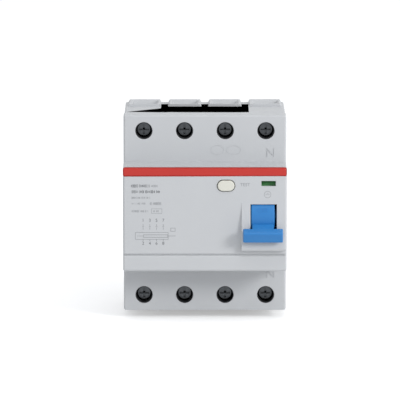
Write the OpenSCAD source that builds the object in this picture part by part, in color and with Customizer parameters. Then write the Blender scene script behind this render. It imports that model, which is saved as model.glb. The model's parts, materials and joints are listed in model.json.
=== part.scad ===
// Four-pole residual current device for a 35 mm mounting rail.
// X runs across the poles, Z is up, and the front faces -Y.
// "Depth" is measured forward from the rail's face and "height" from the rail's centre line,
// so the origin is the middle of the seat that rests on the rail.

/* [Housing] */
// Width of one pole, the modular pitch
pole_pitch = 17.5; // [17.25:0.25:18]
// Height of the shoulders, end to end
body_h = 85; // [84:0.5:88]
// Height of the raised middle of the front
dome_h = 45; // [44.5:0.25:46]
// Depth of the shoulder face
shoulder_w = 44; // [43.5:0.25:45]
// Depth of the raised middle's face
dome_w = 62.25; // [62:0.25:63]
// Depth of the seam between the base and the cover
split_w = 34; // [33.5:0.25:35]
// Wall of the base and cover mouldings
wall = 1.6; // [1.4:0.1:1.8]
// Thickness of the base's floor behind the works
floor_t = 2; // [1.8:0.1:2.4]
// Radius along the raised middle's long edges
edge_r = 1; // [0.6:0.1:1.2]
// How far the base's sides lie inside the cover's
base_inset = 0.3; // [0.2:0.05:0.4]
// Thickness of the walls between the poles' contact chambers
barrier_t = 1.6; // [1.2:0.1:2]

/* [Front details] */
// Height of the coloured strip
strip_h = 3.9; // [3:0.1:4.5]
// Thickness of the coloured strip
strip_t = 0.9; // [0.7:0.1:1]
// Height of the line that closes the front panel, above the centre line
seam_v = -15.4; // [-16:0.1:-15]
// Width of that line's groove
seam_gap = 0.35; // [0.25:0.05:0.5]
// Where the indicator window sits across the front
window_x = 27.2; // [26.5:0.1:27.5]
// Where the indicator window sits, above the centre line
window_v = 15.5; // [15.2:0.1:15.8]
// Width of the indicator window
window_b = 6.1; // [5:0.1:6.5]
// Height of the indicator window
window_h = 2.2; // [2:0.1:2.6]

/* [Rail] */
// Height of the rail that the base takes
rail_h = 35; // [35:0.5:36]
// Room for the rail's lip behind the seat
lip_gap = 1.3; // [1.2:0.1:1.5]
// How far the feet reach behind the seat
foot_t = 5.5; // [5.25:0.25:6]
// Distance from the centre line to the feet's outer ends
foot_end = 26.5; // [26:0.1:26.6]
// How far the hooks reach over the rail's lips
hook_reach = 2.1; // [1.8:0.1:2.3]
// Width of each sliding clip
clip_b = 12; // [10:0.5:14]
// Thickness of each sliding clip
clip_t = 3.2; // [3:0.1:3.3]
// How far each clip's pull tab stands below the shoulders
clip_tab = 3.5; // [3:0.25:5]

/* [Terminals] */
// Distance of the terminal screws from the shoulders' ends
terminal_inset = 6.75; // [6.5:0.05:7]
// Radius of the screwdriver holes
driver_r = 3.7; // [3.5:0.05:3.9]
// Radius of the screw heads
head_r = 3.3; // [3.1:0.05:3.4]
// Height of the screw heads
head_t = 3; // [2.5:0.1:3.4]
// Depth of the screw heads' faces
head_w = 38.5; // [38:0.1:39]
// Radius of the screw shanks
shank_r = 2.5; // [2.25:0.05:2.6]
// Width of the cross recess's arms
recess_b = 0.9; // [0.7:0.05:1.1]
// Depth of the cross recess
recess_t = 1.7; // [1.4:0.1:2]
// Width of the clamp cages
cage_b = 10.4; // [10:0.1:11]
// Height of the clamp cages
cage_h = 9; // [8.5:0.1:9.4]
// Thickness of the cages' threaded wall
cage_nut_t = 3.5; // [3:0.1:3.8]
// Thickness of the cages' other walls
cage_t = 1.5; // [1.2:0.1:1.6]
// Travel of the clamp cages
cage_travel = 4.4; // [4:0.1:4.5]
// Width of the wire entries
entry_b = 9.2; // [8.5:0.1:9.4]
// Width of the entries' flared mouths
mouth_b = 12; // [11.5:0.1:12.4]
// Depth of the entries' flare
mouth_t = 1.6; // [1:0.1:2]
// Height of the collars round the entries
collar_rise = 1.2; // [0.8:0.1:1.5]
// Width of the collars
collar_b = 13.3; // [13:0.1:14]
// Depth over which the collars run
collar_w = 15.4; // [15:0.1:16]
// Width of the slots between the poles' ends
notch_b = 2.6; // [2:0.1:2.8]
// Height of the slots between the poles' ends
notch_h = 6; // [5:0.25:7]
// Depth of the bridge that closes each slot at the rear
bridge_w = 7.7; // [6:0.1:9]

/* [Toggle] */
// Where the toggle sits across the front
toggle_x = 24.8; // [24.6:0.05:25]
// Height of the toggle's axis above the centre line
toggle_v = 0.7; // [0.5:0.05:0.9]
// Depth of the toggle's axis
toggle_w = 53.5; // [53.3:0.1:53.8]
// Radius of the toggle's barrel
barrel_r = 9.9; // [9.7:0.05:10]
// Width of the toggle's barrel
barrel_b = 10; // [9.5:0.1:10.2]
// Width of the handle's crossbar
handle_b = 17; // [15:0.25:17.5]
// Thickness of the handle's crossbar
handle_t = 4; // [3.5:0.1:4.2]
// Height of the handle's crossbar
handle_h = 5.2; // [4.6:0.1:5.4]
// Distance from the axis to the crossbar's inner face
handle_in = 13.3; // [13.2:0.05:13.6]
// Angle of the handle below straight forward when off
toggle_down = 27; // [25:0.5:28]
// Radius of the toggle's pin
toggle_pin_r = 1.5; // [1.3:0.05:1.6]
// Height of the wedge round the toggle above the front face
wedge_rise = 2.8; // [2:0.1:3]

/* [Contacts] */
// Height of the contact carrier's axis above the centre line
carrier_v = 4; // [3.8:0.1:4.2]
// Depth of the contact carrier's axis
carrier_w = 20; // [19.8:0.05:20.2]
// Radius of the contact carrier
carrier_r = 3; // [2.8:0.1:3.2]
// Angle between the open and the closed contacts
contact_turn = 18; // [16:0.5:19]
// Width of the moving contacts
blade_b = 3; // [2.6:0.1:3.4]
// Thickness of the moving contacts
blade_t = 1.6; // [1.4:0.1:1.8]
// Distance from the carrier's axis to the contact tips
tip_reach = 15.5; // [15.2:0.1:15.7]
// Radius of the contact tips
tip_r = 1.5; // [1.3:0.05:1.6]
// Height of the contact tips
tip_t = 0.9; // [0.7:0.05:1]
// Width of the contact bars
bar_b = 7; // [6.5:0.1:7.2]
// Thickness of the contact bars
bar_t = 1.4; // [1.3:0.05:1.6]
// Depth of the back of the bars at the terminals
bar_w = 13.6; // [13.4:0.1:13.8]
// Number of splitter plates in each arc chamber
splitter_count = 5; // [4:1:6]

/* [Linkage] */
// Distance from the toggle's axis to the crank pin
crank_r = 4.2; // [4.1:0.05:4.3]
// Radius of the crank pin
crank_pin_r = 1; // [0.9:0.05:1.05]
// Length of the contact carrier's arm
arm_len = 12; // [11.8:0.1:12.2]
// Thickness of the link and of the carrier's arm
link_t = 1.5; // [1.3:0.05:1.6]
// Half width of the link
link_r = 2.1; // [1.9:0.05:2.15]
// Play of the link's lower eye round its pin
link_play = 0.65; // [0.6:0.05:0.7]

/* [Sensor] */
// Inner radius of the sensor's case
sensor_in_r = 6.6; // [6.2:0.1:6.8]
// Outer radius of the sensor's case
sensor_out_r = 11.8; // [11.4:0.1:12]
// Height of the sensor's case
sensor_h = 11; // [10:0.25:11.5]
// Height of the sensor's middle above the centre line
sensor_v = -12.5; // [-13:0.1:-12]
// Depth of the sensor's axis
sensor_w = 16.5; // [16.2:0.1:16.8]
// Wall of the sensor's case
sensor_wall = 0.9; // [0.7:0.05:1]
// Thickness of the winding over the case
winding_t = 1; // [0.8:0.05:1.1]
// Radius of the load cables
cable_r = 1.25; // [1:0.05:1.35]

/* [Release] */
// Width of the release's case
relay_b = 14.4; // [13.5:0.1:14.6]
// Height of the release's case
relay_h = 13; // [12:0.25:13.5]
// Depth of the front of the release's case
relay_front_w = 28; // [27.5:0.1:29]
// Radius of the release's plunger
plunger_r = 1.5; // [1.3:0.05:1.7]
// Distance from the trip lever's pin to the plunger
trip_arm = 9; // [8.5:0.1:9.5]
// Radius of the trip lever's pin
trip_pin_r = 1; // [0.9:0.05:1.1]

/* [Test circuit] */
// Where the test button sits across the front
button_x = 9.05; // [8.8:0.05:9.3]
// Height of the test button above the centre line
button_v = 14.6; // [14.4:0.1:14.8]
// Width of the test button
button_b = 7.2; // [6.5:0.1:7.6]
// Height of the test button
button_h = 4.5; // [4:0.1:4.8]
// How far the test button stands in front of the face
button_proud = 0.7; // [0.4:0.1:1]
// Travel of the test button
button_travel = 1.5; // [1:0.1:1.6]
// Radius of the test resistor
resistor_r = 1.6; // [1.3:0.05:1.8]

/* [Fits] */
// Play round pins, shafts and threads
fit_gap = 0.05; // [0.03:0.01:0.08]
// Play round parts that slide or swing past the mouldings
slide_gap = 0.3; // [0.25:0.05:0.35]

/* [Hidden] */
$fn = 48;
POLES = 4;
ENDS = ["line", "load"];
half_w = POLES * pole_pitch / 2;
half_h = body_h / 2;
dome_v = dome_h / 2;
base_x = half_w - base_inset;
works_x = half_w - wall - base_inset;

// terminals: the wire's room, the chamber that holds a cage, and the bar's window
cage_play = 0.5;
cage_room = 1.1;
notch_lip = 0.5;
term_v = half_h - terminal_inset;
cage_back_w = floor_t;
cage_front_w = head_w - head_t - cage_travel - 2 * slide_gap;
chamber_b = cage_b + 2 * cage_play;
chamber_out_v = half_h - wall;
chamber_in_v = term_v - cage_h / 2 - cage_room;
cross_t = wall;
works_v = chamber_in_v - cross_t;
entry_w0 = cage_back_w + cage_t;
entry_w1 = bar_w - slide_gap;
notch_front_w = split_w - notch_lip;
notch_v = half_h - notch_h;

// cover fixings between the poles
post_v = chamber_in_v - cross_t / 2;
post_r = 2.5;
bolt_r = 1.2;
bolt_head_r = 2;
bolt_head_t = 1.6;
bolt_seat_w = floor_t;

// rail seat
seat_v = rail_h / 2 + slide_gap;
clip_x = pole_pitch;
clip_w0 = slide_gap;

// works inside the dome
cover_in_w = dome_w - wall;
hub_left = 1.7;
hub_right = 2.6;
frame_l = toggle_x - barrel_b / 2 - hub_left;
frame_r = toggle_x + barrel_b / 2 + hub_right;
plate_t = 1;
plate_w0 = 36;
plate_w1 = cover_in_w - slide_gap;
hub_r = 4;
slot_b = barrel_b + 4 * slide_gap;
slot_x = toggle_x + slide_gap;
slot_up = 5.8;
slot_down = 8.3;
wedge_margin = 0.65;
wedge_x = toggle_x - handle_b / 2 - wedge_margin;
wedge_top = 7.3;
wedge_bottom = 14;

// indicator drum, turned with the toggle
flag_r = 14.8;
flag_t = 1.4;
flag_drop = 5.3;
flag_gap = 0.35;
flag_pin_r = 1;
flag_v = window_v - flag_drop;
flag_w = cover_in_w - flag_r - flag_gap;

// carrier arm and link, both pointing a little up when the contacts are open
arm_half = contact_turn / 2;
arm_x = toggle_x - link_t - slide_gap - link_t / 2;
link_x = toggle_x - link_t / 2;
crank_at = [toggle_w - crank_r * cos(toggle_down), toggle_v + crank_r * sin(toggle_down)];
arm_at = [carrier_w + arm_len * cos(arm_half), carrier_v + arm_len * sin(arm_half)];

// the carrier's fingers and the springs between them and the moving contacts
spring_len = 3.2;
spring_r = 1.4;
spring_rise = 6;
finger_t = 1.4;
finger_b = 5;
finger_rise = 8;
blade_tail = 4;
stub_r = 1.5;

// fixed contacts, load bars and the arc chambers' splitter plates
tip_gap = 0.1;
tip_base_t = 1.2;
load_bar_v = -works_v + 1.8;
splitter_v0 = carrier_v + tip_reach + tip_r + 1.2;
splitter_v1 = works_v - bar_t - 0.9;
splitter_side = 2.2;
splitter_b = pole_pitch - barrier_t - 2 * splitter_side;
splitter_t = 0.8;
splitter_w0 = 4.2;
splitter_pitch = (sensor_w + 3.4 - splitter_w0) / splitter_count;
cheek_t = 1;

// sensor core inside its case
core_r0 = sensor_in_r + sensor_wall + fit_gap;
core_r1 = sensor_out_r - sensor_wall - fit_gap;

// test button's flange and stem, and the leaf under the stem
flange_t = 1.2;
stem_l = 6;
stem_r = 1.2;
leaf_t = 0.4;
flange_w = cover_in_w - slide_gap - flange_t;
leaf_w = flange_w - stem_l - flange_t - button_travel - 2 * slide_gap;

// release and trip lever
relay_x = toggle_x;
trip_w = plate_w0 + 2.2;
trip_v = -8;
relay_v = trip_v - trip_arm;
plunger_face_w = trip_w - 3.3;

function pole_x(i) = (i - (POLES + 1) / 2) * pole_pitch;
function joint_x(i) = (i - POLES / 2) * pole_pitch;

// A block between two sides, two depths and two heights
module block(x0, x1, w0, w1, v0, v1) {
    translate([x0, -w1, v0]) cube([x1 - x0, w1 - w0, v1 - v0]);
}

// An outline drawn as (depth, height), run across from x0 to x1
module across(x0, x1) {
    translate([x0, 0, 0]) rotate([90, 0, 90]) linear_extrude(x1 - x0) mirror([1, 0]) children();
}

// An outline drawn as (x, height), run forward from one depth to another
module forward(w0, w1) {
    translate([0, -w0, 0]) rotate([90, 0, 0]) linear_extrude(w1 - w0) children();
}

// An outline drawn as (x, depth), run upward from one height to another
module upward(v0, v1) {
    translate([0, 0, v0]) linear_extrude(v1 - v0) mirror([0, 1]) children();
}

// Round bars along each direction
module rod_across(x0, x1, w, v, r) {
    translate([x0, -w, v]) rotate([0, 90, 0]) cylinder(h = x1 - x0, r = r);
}
module rod_forward(x, v, w0, w1, r) {
    translate([x, -w0, v]) rotate([90, 0, 0]) cylinder(h = w1 - w0, r = r);
}
module rod_upward(x, w, v0, v1, r) {
    translate([x, -w, v0]) cylinder(h = v1 - v0, r = r);
}

// Turns its children about a line across the device, front edge up
module raised(w, v, angle) {
    translate([0, -w, v]) rotate([-angle, 0, 0]) translate([0, w, -v]) children();
}

// A rectangle with true round corners
module round_rect(a0, a1, b0, b1, r) {
    translate([a0 + r, b0]) square([a1 - a0 - 2 * r, b1 - b0]);
    translate([a0, b0 + r]) square([a1 - a0, b1 - b0 - 2 * r]);
    for (a = [a0 + r, a1 - r], b = [b0 + r, b1 - r]) translate([a, b]) circle(r);
}

// A long round-ended outline, centred
module oval(b, h) {
    circle_at = (b - h) / 2;
    translate([-circle_at, -h / 2]) square([2 * circle_at, h]);
    for (s = [-1, 1]) translate([s * circle_at, 0]) circle(h / 2);
}

// A slice of a ring between two angles
module ring_slice(r0, r1, a0, a1) {
    reach = 2 * r1;
    intersection() {
        difference() {
            circle(r1);
            circle(r0);
        }
        polygon([[0, 0], reach * [cos(a0), sin(a0)], reach * [cos(a1), sin(a1)]]);
    }
}

// The same thing at the top and at the bottom of the device
module both_ends() {
    children();
    mirror([0, 0, 1]) children();
}

// ---------------------------------------------------------------- housing

// One pole's end: a collar with sloped sides round the wire entry
module collar(x) {
    slope = collar_rise / 2;
    forward(0, collar_w) translate([x, half_h]) polygon([
        [-collar_b / 2 - slope, -wall / 2], [collar_b / 2 + slope, -wall / 2],
        [collar_b / 2 + slope, 0], [collar_b / 2, collar_rise],
        [-collar_b / 2, collar_rise], [-collar_b / 2 - slope, 0]]);
}

// The wire's way in: a straight hole whose mouth flares towards the end face
module wire_entry(x) {
    top = half_h + collar_rise;
    flare = (mouth_b - entry_b) / 2;
    block(x - entry_b / 2, x + entry_b / 2, entry_w0, entry_w1, chamber_out_v - 1, top + 1);
    intersection() {
        forward(0, split_w) translate([x, top]) polygon([
            [-entry_b / 2, -mouth_t], [entry_b / 2, -mouth_t],
            [entry_b / 2 + flare, 0], [entry_b / 2 + flare, 1],
            [-entry_b / 2 - flare, 1], [-entry_b / 2 - flare, 0]]);
        across(x - mouth_b, x + mouth_b) translate([0, top]) polygon([
            [entry_w0, -mouth_t], [entry_w1, -mouth_t], [entry_w1 + flare, 0],
            [entry_w1 + flare, 1], [entry_w0 - flare, 1], [entry_w0 - flare, 0]]);
    }
}

// The slot between two poles, open along the end and bridged at the rear
module end_notch(x) {
    half = notch_b / 2;
    block(x - half, x + half, bridge_w, notch_front_w, notch_v, half_h + 1);
    forward(-1, notch_front_w) translate([x, 0]) polygon([
        [-half, notch_v], [half, notch_v], [half, half_h - 2.9],
        [0, half_h - 1.3], [-half, half_h - 2.9]]);
}

// Everything that is hollow at one end of the base
module end_hollows() {
    for (i = [1:POLES]) {
        x = pole_x(i);
        block(x - chamber_b / 2, x + chamber_b / 2, cage_back_w - slide_gap, split_w + 1,
            chamber_in_v, chamber_out_v);
        block(x - bar_b / 2 - slide_gap, x + bar_b / 2 + slide_gap, bar_w - slide_gap, split_w + 1,
            works_v - 1, chamber_in_v + 1);
        wire_entry(x);
    }
    for (i = [1:POLES - 1]) end_notch(joint_x(i));
}

// Posts that take the cover's bolts, between the outer poles
module post_bores(w0, w1, r) {
    for (s = [-1, 1], t = [-1, 1]) rod_forward(s * pole_pitch, t * post_v, w0, w1, r);
}

// A foot behind the base with its hook over the rail's lip
module rail_foot() {
    block(-base_x, base_x, -foot_t, 0, seat_v, foot_end);
}

module base_shell() {
    difference() {
        union() {
            block(-base_x, base_x, 0, split_w, -half_h, half_h);
            both_ends() {
                for (i = [1:POLES]) collar(pole_x(i));
                rail_foot();
            }
        }
        block(-works_x, works_x, floor_t, split_w + 1, -works_v, works_v);
        both_ends() end_hollows();
    }
}

// Walls between the poles' contacts, from above the carrier to the cross wall
module barriers() {
    barrier_v0 = carrier_v + carrier_r + 2.5;
    for (i = [1:POLES - 1]) {
        x = joint_x(i);
        block(x - barrier_t / 2, x + barrier_t / 2, floor_t - 0.1, split_w - slide_gap,
            barrier_v0, works_v + 0.1);
    }
}

// Side bearings for the contact carrier and the saddle that holds the sensor
module base_supports() {
    for (s = [-1, 1]) {
        inner = works_x - 2;
        block(min(s * inner, s * works_x) - 0.05, max(s * inner, s * works_x) + 0.05,
            floor_t - 0.1, carrier_w + 4, carrier_v - 4, carrier_v + 4);
    }
    difference() {
        block(-9, 9, floor_t - 0.1, sensor_w - sensor_out_r / 2,
            sensor_v - sensor_h / 4, sensor_v + sensor_h / 4);
        rod_upward(0, sensor_w, sensor_v - sensor_h, sensor_v + sensor_h,
            sensor_out_r + fit_gap);
    }
}

module base_housing() {
    color([0.76, 0.765, 0.775]) difference() {
        union() {
            base_shell();
            barriers();
            base_supports();
            for (s = [-1, 1]) {
                pad = min(clip_x + clip_b, base_x);
                block(min(s * 5, s * pad), max(s * 5, s * pad), -foot_t, -lip_gap,
                    seat_v - hook_reach, seat_v + 1);
            }
            post_bores(floor_t - 0.1, split_w, post_r);
        }
        for (s = [-1, 1]) {
            x = s * clip_x;
            block(x - clip_b / 2 - slide_gap, x + clip_b / 2 + slide_gap,
                -clip_t - 2 * slide_gap, 0, -foot_end - 1, -seat_v + 1);
        }
        rod_across(-works_x - 0.5, works_x + 0.5, carrier_w, carrier_v, stub_r + fit_gap);
        post_bores(-foot_t - 1, split_w + 1, bolt_r + fit_gap);
        post_bores(-foot_t - 1, bolt_seat_w, bolt_head_r + slide_gap);
    }
}

// Side view of the cover: the shoulders and the raised middle with round edges
module cover_outline(inset) {
    back = inset > 0 ? split_w - 1 : split_w;
    translate([back, -half_h + inset]) square([shoulder_w - inset - back, body_h - 2 * inset]);
    round_rect(back, dome_w - inset, -dome_v + inset, dome_v - inset, max(edge_r - inset, 0.3));
}

// The wedge round the toggle: flush above it, and standing proud below
module toggle_wedge() {
    across(wedge_x, half_w) polygon([
        [cover_in_w, wedge_top], [dome_w, wedge_top],
        [dome_w + wedge_rise, toggle_v - wedge_bottom + 0.8],
        [dome_w + wedge_rise - 0.5, toggle_v - wedge_bottom],
        [cover_in_w, toggle_v - wedge_bottom]]);
}

module front_cover() {
    color([0.765, 0.77, 0.78]) difference() {
        union() {
            difference() {
                across(-half_w, half_w) cover_outline(0);
                across(-half_w + wall, half_w - wall) cover_outline(wall);
            }
            toggle_wedge();
            for (i = [1:POLES]) both_ends() {
                rod_forward(pole_x(i), term_v, head_w - head_t, shoulder_w, driver_r + 1);
            }
            post_bores(split_w, shoulder_w - wall / 2, post_r);
        }
        for (i = [1:POLES]) both_ends() {
            rod_forward(pole_x(i), term_v, min(split_w, head_w - head_t) - 1, shoulder_w + 1, driver_r);
        }
        post_bores(split_w - 1, shoulder_w - wall, bolt_r + fit_gap);
        // seat of the coloured strip
        block(-half_w - 1, half_w + 1, dome_w - strip_t, dome_w + 1,
            dome_v - strip_h, dome_v + 1);
        // line under the front panel, up to the wedge
        block(-half_w - 1, half_w + 1, dome_w - seam_gap, dome_w + wedge_rise + 1,
            seam_v - seam_gap / 2, seam_v + seam_gap / 2);
        // toggle slot, button hole and indicator window
        block(slot_x - slot_b / 2, slot_x + slot_b / 2, cover_in_w - 1, dome_w + wedge_rise + 1,
            toggle_v - slot_down, toggle_v + slot_up);
        rod_across(slot_x - slot_b / 2, slot_x + slot_b / 2, toggle_w, toggle_v,
            barrel_r + slide_gap);
        forward(cover_in_w - 1, dome_w + 1) translate([button_x, button_v])
            oval(button_b + 2 * slide_gap, button_h + 2 * slide_gap);
        block(window_x - window_b / 2, window_x + window_b / 2, cover_in_w - 1, dome_w + 1,
            window_v - window_h / 2, window_v + window_h / 2);
    }
}

// A strip let into the front's upper edge
module accent_strip() {
    color([0.75, 0.17, 0.13]) across(-half_w, half_w) intersection() {
        round_rect(split_w, dome_w, -dome_v, dome_v, edge_r);
        translate([dome_w - strip_t, dome_v - strip_h]) square([strip_t + 1, strip_h + 1]);
    }
}

module cover_bolts() {
    color("silver") for (s = [-1, 1], t = [-1, 1]) {
        x = s * pole_pitch;
        rod_forward(x, t * post_v, bolt_seat_w - 0.5, shoulder_w - wall - 2 * slide_gap, bolt_r);
        rod_forward(x, t * post_v, bolt_seat_w - bolt_head_t, bolt_seat_w, bolt_head_r);
    }
}

// A sliding clip: a plate behind the base with its nose over the rail's lower lip
module rail_clip(side) {
    x = side * clip_x;
    color([0.3, 0.31, 0.33]) difference() {
        union() {
            block(x - clip_b / 2, x + clip_b / 2, -clip_t - clip_w0, -clip_w0,
                -half_h - clip_tab, -seat_v - slide_gap);
            block(x - clip_b / 2, x + clip_b / 2, -clip_t - clip_w0, -lip_gap,
                -seat_v - 1, -seat_v + hook_reach);
        }
        block(x - clip_b / 4, x + clip_b / 4, -clip_t - 1, 0,
            -half_h - clip_tab / 2 - 0.8, -half_h - clip_tab / 2 + 0.8);
    }
}

// ---------------------------------------------------------------- toggle and linkage

// The handle as it stands straight forward, before it is turned to off
module toggle_straight() {
    tip = toggle_w + handle_in + handle_t;
    rod_across(toggle_x - barrel_b / 2, toggle_x + barrel_b / 2, toggle_w, toggle_v, barrel_r);
    rod_across(frame_l + slide_gap, frame_r - slide_gap, toggle_w, toggle_v, hub_r);
    block(toggle_x - barrel_b / 2 + 0.4, toggle_x + barrel_b / 2 - 0.4, toggle_w + hub_r,
        toggle_w + handle_in + 1, toggle_v - 1.6, toggle_v + 2);
    across(toggle_x - handle_b / 2, toggle_x + handle_b / 2)
        round_rect(toggle_w + handle_in, tip, toggle_v - handle_h / 2, toggle_v + handle_h / 2, 0.9);
}

module toggle_lever() {
    color([0.15, 0.47, 0.73]) raised(toggle_w, toggle_v, -toggle_down) difference() {
        toggle_straight();
        rod_across(frame_l, frame_r, toggle_w, toggle_v, toggle_pin_r + fit_gap);
        // room for the link, open to the rear
        block(link_x - slide_gap, link_x + link_t + slide_gap, toggle_w - barrel_r - 1,
            toggle_w - toggle_pin_r + 0.2, toggle_v - barrel_r, toggle_v + barrel_r);
        rod_across(toggle_x - barrel_b / 2 - 1, toggle_x + barrel_b / 2 + 1,
            toggle_w - crank_r, toggle_v, crank_pin_r + fit_gap / 5);
        // seat of the return spring
        rod_across(frame_l, toggle_x - barrel_b / 2 + 1.6, toggle_w, toggle_v, hub_r - 0.8);
    }
}

module toggle_pin() {
    color("silver") rod_across(frame_l - plate_t, frame_r + plate_t, toggle_w, toggle_v, toggle_pin_r);
}

// The return spring, wound round the toggle's pin
module toggle_spring() {
    color("dimgray") translate([frame_l + slide_gap / 2, -toggle_w, toggle_v]) rotate([0, 90, 0])
        difference() {
            cylinder(h = 2.9, r = hub_r - 0.8 - slide_gap);
            translate([0, 0, -1]) cylinder(h = 5, r = toggle_pin_r + slide_gap);
        }
}

module crank_pin() {
    color("silver") rod_across(toggle_x - barrel_b / 2 + 0.5, toggle_x + barrel_b / 2 - 0.5,
        crank_at[0], crank_at[1], crank_pin_r);
}

// The link from the crank pin to the carrier's arm
module crank_link() {
    dir = (arm_at - crank_at) / norm(arm_at - crank_at);
    side = [-dir[1], dir[0]] * link_r * 0.85;
    color("silver") difference() {
        union() {
            for (p = [crank_at, arm_at]) rod_across(link_x, link_x + link_t, p[0], p[1], link_r);
            across(link_x, link_x + link_t)
                polygon([crank_at + side, arm_at + side, arm_at - side, crank_at - side]);
        }
        rod_across(link_x - 1, link_x + link_t + 1, crank_at[0], crank_at[1], crank_pin_r + fit_gap);
        rod_across(link_x - 1, link_x + link_t + 1, arm_at[0], arm_at[1], crank_pin_r + link_play);
    }
}

// A side plate of the mechanism, drilled for every pin that crosses it
module frame_plate(x) {
    color("silver") difference() {
        across(x, x + plate_t) polygon([
            [plate_w0, trip_v - 3.5], [plate_w0, trip_v + 4], [plate_w1 - 18, flag_v + 3.5],
            [plate_w1 - 4, flag_v + 3.5], [plate_w1, flag_v], [plate_w1, toggle_v - 9],
            [plate_w1 - 4, toggle_v - 12.5], [plate_w0 + 4, trip_v - 3.5]]);
        rod_across(x - 1, x + 2, toggle_w, toggle_v, toggle_pin_r + fit_gap);
        rod_across(x - 1, x + 2, flag_w, flag_v, flag_pin_r + fit_gap);
        rod_across(x - 1, x + 2, trip_w, trip_v, trip_pin_r + fit_gap);
    }
}

module frame_plate_left() frame_plate(frame_l - plate_t);
module frame_plate_right() frame_plate(frame_r);

// The drum behind the window: one moulding with its own pins, an arm and a curved face
module indicator_flag() {
    arm_x0 = window_x - 1;
    color([0.2, 0.5, 0.25]) {
        rod_across(frame_l - plate_t, frame_r + plate_t, flag_w, flag_v, flag_pin_r);
        rod_across(arm_x0 - 1, arm_x0 + 3, flag_w, flag_v, flag_pin_r + 1);
        across(arm_x0, arm_x0 + 2) translate([flag_w, flag_v]) ring_slice(flag_pin_r + 0.5,
            flag_r - 0.1, 21, 27);
        across(window_x - 3.3, frame_r - slide_gap) translate([flag_w, flag_v])
            ring_slice(flag_r - flag_t, flag_r, 1, 27);
    }
}

// ---------------------------------------------------------------- contacts

// Room in the carrier for one moving contact, drawn with the contacts closed
module blade_block(x, w0, w1, v0, v1, play) {
    block(x - blade_b / 2 - play, x + blade_b / 2 + play, w0 - play, w1 + play, v0, v1);
}

module moving_contact(i) {
    x = pole_x(i);
    face = carrier_w + blade_t / 2;
    color([0.72, 0.45, 0.2]) raised(carrier_w, carrier_v, contact_turn) {
        blade_block(x, carrier_w - blade_t / 2, face,
            carrier_v - blade_tail, carrier_v + tip_reach + tip_r, 0);
        rod_forward(x, carrier_v + tip_reach, face - 0.1, face + tip_t, tip_r);
    }
}

// The insulating bar that carries the four moving contacts and the arm to the link
module contact_carrier() {
    back = carrier_w - blade_t / 2 - spring_len - finger_t;
    color([0.2, 0.2, 0.22]) raised(carrier_w, carrier_v, contact_turn) difference() {
        union() {
            rod_across(-works_x + 2 + slide_gap, works_x - 2 - slide_gap, carrier_w, carrier_v,
                carrier_r);
            rod_across(-works_x - 0.2, works_x + 0.2, carrier_w, carrier_v, stub_r);
            for (i = [1:POLES]) {
                x = pole_x(i);
                half = finger_b / 2;
                block(x - half, x + half, back, carrier_w, carrier_v - 1.2, carrier_v + 1.2);
                block(x - half, x + half, back, back + finger_t,
                    carrier_v - 1.2, carrier_v + finger_rise);
            }
            across(arm_x, arm_x + link_t) carrier_arm();
            raised(carrier_w, carrier_v, -arm_half) rod_across(arm_x, toggle_x + link_t / 2,
                carrier_w + arm_len, carrier_v, crank_pin_r);
        }
        for (i = [1:POLES]) blade_block(pole_x(i), carrier_w - blade_t / 2, carrier_w + blade_t / 2,
            carrier_v - blade_tail - 1, carrier_v + finger_rise + 1, fit_gap);
    }
}

// The arm's outline as (depth, height), pointing forward and a little down when closed
module carrier_arm() {
    translate([carrier_w, carrier_v]) rotate(-arm_half) {
        translate([0, -2]) square([arm_len, 4]);
        translate([arm_len, 0]) circle(2);
    }
}

// Pressure springs between the carrier's fingers and the moving contacts
module contact_springs() {
    front = carrier_w - blade_t / 2 - fit_gap / 2;
    color("dimgray") raised(carrier_w, carrier_v, contact_turn) for (i = [1:POLES])
        rod_forward(pole_x(i), carrier_v + spring_rise, front - spring_len + fit_gap, front, spring_r);
}

// Line bar: from the terminal through the cross wall, forward, and back down to its tip
module fixed_contact(i) {
    x = pole_x(i);
    tip_face = carrier_w + blade_t / 2 + tip_t + tip_gap;
    front = tip_face + tip_base_t;
    rise_v = works_v - 0.3;
    color([0.72, 0.45, 0.2]) {
        across(x - bar_b / 2, x + bar_b / 2) polygon([
            [bar_w, term_v + cage_h / 2 - 0.4], [bar_w, rise_v - bar_t],
            [front, rise_v - bar_t], [front, carrier_v + tip_reach - tip_r - 1],
            [front + bar_t, carrier_v + tip_reach - tip_r - 1], [front + bar_t, rise_v],
            [bar_w + bar_t, rise_v], [bar_w + bar_t, term_v + cage_h / 2 - 0.4]]);
        rod_forward(x, carrier_v + tip_reach, tip_face, front + 0.1, tip_r + 0.3);
    }
}

module load_bar(i) {
    x = pole_x(i);
    color([0.72, 0.45, 0.2]) block(x - bar_b / 2, x + bar_b / 2, bar_w, bar_w + bar_t,
        -term_v - cage_h / 2 + 0.4, load_bar_v);
}

// Steel splitters above each pole's contacts, between two insulating cheeks
module arc_splitters() {
    color("silver") for (i = [1:POLES], k = [0:splitter_count - 1]) {
        x = pole_x(i);
        w = splitter_w0 + k * splitter_pitch;
        block(x - splitter_b / 2, x + splitter_b / 2, w, w + splitter_t, splitter_v0, splitter_v1);
    }
}

module arc_cheeks() {
    color([0.85, 0.82, 0.7]) for (i = [1:POLES], s = [-1, 1]) {
        x = pole_x(i) + s * (splitter_b + cheek_t) / 2;
        block(x - cheek_t / 2, x + cheek_t / 2, floor_t, splitter_w0 + splitter_count * splitter_pitch,
            splitter_v0, splitter_v1);
    }
}

// ---------------------------------------------------------------- sensor

// A ring round the sensor's axis, its section drawn as (radius, height)
module sensor_ring(angle = 360) {
    translate([0, -sensor_w, sensor_v]) rotate_extrude(angle = angle) children();
}

module sensor_core() {
    color([0.35, 0.37, 0.4]) sensor_ring() translate([core_r0, -sensor_h / 2 + sensor_wall])
        square([core_r1 - core_r0, sensor_h - 2 * sensor_wall]);
}

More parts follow.
